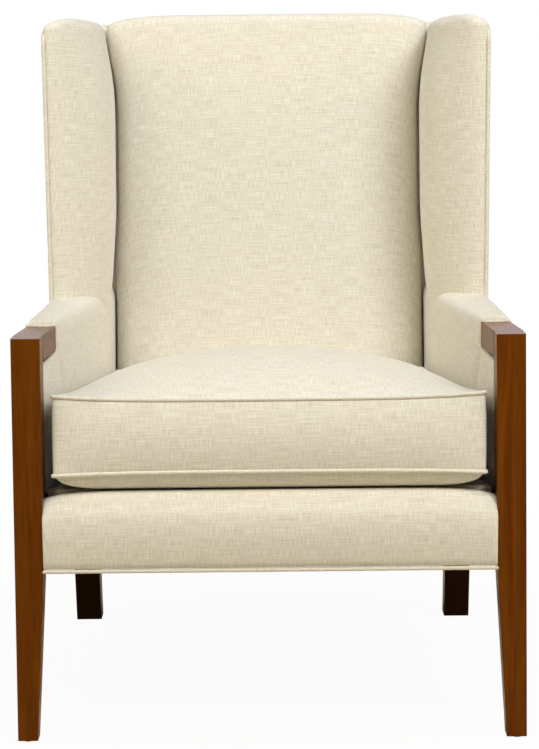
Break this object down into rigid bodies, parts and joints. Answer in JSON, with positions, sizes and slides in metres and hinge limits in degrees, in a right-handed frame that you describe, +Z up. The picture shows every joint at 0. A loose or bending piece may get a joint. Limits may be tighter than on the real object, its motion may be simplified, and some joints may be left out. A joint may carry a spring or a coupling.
{
  "type": "wing chair",
  "caption": "Upholstered wing chair with exposed wood front posts and arm stubs, raked rear legs, welted wings and a loose boxed seat cushion with a zipped cover.",
  "frame": {"origin": "on the floor, midway across the chair and midway between its front and its back", "axes": "+Z up, -Y the way the sitter faces, +X the right-hand side seen from the front"},
  "size_m": [0.748, 0.7728, 1.06],
  "materials": {
    "show_wood": "satin lacquer over a warm walnut stain",
    "dark_wood": "satin lacquer over a very dark stain",
    "frame_wood": "unfinished hardwood",
    "upholstery_cloth": "cream slub linen weave",
    "welt_cloth": "cream slub linen over cord",
    "deck_cloth": "plain cream decking cloth over padding",
    "cushion_fill": "wrapped foam core",
    "webbing": "woven jute strap",
    "dust_cloth": "thin black cambric",
    "screw_steel": "plain zinc",
    "glide_plastic": "moulded nylon",
    "zip_tape": "woven tape with a nylon coil",
    "zip_metal": "brushed nickel"
  },
  "bodies": {
    "frame": {"arm_pad_left": "upholstery_cloth", "arm_pad_right": "upholstery_cloth", "arm_rail_left": "show_wood", "arm_rail_right": "show_wood", "arm_tack_rail_left": "frame_wood", "arm_tack_rail_right": "frame_wood", "back_bottom_rail": "frame_wood", "back_rail_welt": "welt_cloth", "back_seat_rail": "frame_wood", "back_top_rail": "frame_wood", "back_webbing": "webbing", "corner_block_screws": "screw_steel", "corner_blocks": "frame_wood", "dust_cover": "dust_cloth", "foot_glides": "glide_plastic", "frame_dowels": "frame_wood", "front_leg_left": "show_wood", "front_leg_right": "show_wood", "front_rail_cover": "upholstery_cloth", "front_rail_welt": "welt_cloth", "front_seat_rail": "frame_wood", "inside_back_pad": "upholstery_cloth", "outside_arm_panel_left": "upholstery_cloth", "outside_arm_panel_right": "upholstery_cloth", "outside_back_panel": "upholstery_cloth", "outside_wing_panel_left": "upholstery_cloth", "outside_wing_panel_right": "upholstery_cloth", "rear_leg_left": "dark_wood", "rear_leg_right": "dark_wood", "seat_deck": "deck_cloth", "seat_webbing": "webbing", "side_rail_welt_left": "welt_cloth", "side_rail_welt_right": "welt_cloth", "side_seat_rail_left": "frame_wood", "side_seat_rail_right": "frame_wood", "wing_pad_left": "upholstery_cloth", "wing_pad_right": "upholstery_cloth", "wing_stile_left": "frame_wood", "wing_stile_right": "frame_wood", "wing_top_rail_left": "frame_wood", "wing_top_rail_right": "frame_wood", "wing_welt_left": "welt_cloth", "wing_welt_right": "welt_cloth"},
    "seat_cushion": {"seat_cushion_cover": "upholstery_cloth", "seat_cushion_core": "cushion_fill", "seat_cushion_welt_top": "welt_cloth", "seat_cushion_welt_bottom": "welt_cloth", "cushion_zip": "zip_tape"},
    "zip_slider": {"zip_slider": "zip_metal", "zip_pull": "zip_metal"}
  },
  "joints": [
    {"name": "seat_cushion_slide", "type": "slide", "parent": "frame", "child": "seat_cushion", "axis": [0, -0.9962, 0.0872], "range_m": [0, 0.25]},
    {"name": "zip_slide", "type": "slide", "parent": "seat_cushion", "child": "zip_slider", "axis": [-1, 0, 0], "range_m": [0, 0.41]}
  ]
}
